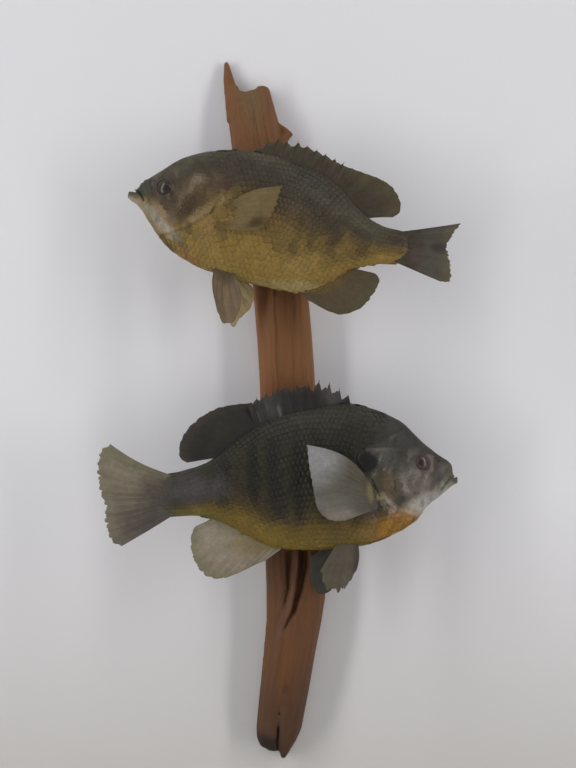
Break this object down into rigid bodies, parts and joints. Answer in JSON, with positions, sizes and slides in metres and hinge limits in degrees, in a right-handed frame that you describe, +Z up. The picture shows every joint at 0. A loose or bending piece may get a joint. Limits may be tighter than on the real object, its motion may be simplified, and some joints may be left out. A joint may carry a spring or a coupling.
{
  "type": "mounted trophy fish",
  "caption": "Life-size preserved sunfish on a strip of driftwood that hangs flat on a wall, one facing right below, one facing left above.",
  "frame": {"origin": "a point on the flat back of the driftwood, midway between the two fish, where it lies on the wall", "axes": "+X to the viewer's right, +Y out of the back of the driftwood into the wall, +Z up along the driftwood; the fish stand out towards -Y"},
  "size_m": [0.2371, 0.0683, 0.4765],
  "materials": {
    "driftwood": "weathered, with a dull varnish",
    "head_skin": "painted and varnished fish skin, satin",
    "flank_skin": "painted and varnished scaled fish skin, satin",
    "golden_skin": "painted and varnished scaled fish skin, satin",
    "glass_eye": "polished, opaque behind the cornea",
    "pale_fin": "dried fin web and rays, satin",
    "dark_fin": "dried fin web and rays, satin"
  },
  "bodies": {
    "root": {"driftwood": "driftwood", "head": "head_skin", "lower_jaw": "head_skin", "trunk": "flank_skin", "tail_stalk": "flank_skin", "eye_right": "glass_eye", "eye_left": "glass_eye", "gill_cover_right": "head_skin", "gill_cover_left": "head_skin", "dorsal_fin_spiny": "dark_fin", "dorsal_fin_soft": "dark_fin", "anal_fin": "pale_fin", "tail_fin": "pale_fin", "pectoral_fin_right": "pale_fin", "pectoral_fin_left": "pale_fin", "pelvic_fin_right": "dark_fin", "pelvic_fin_left": "dark_fin", "upper_fish": "golden_skin"}
  },
  "joints": []
}
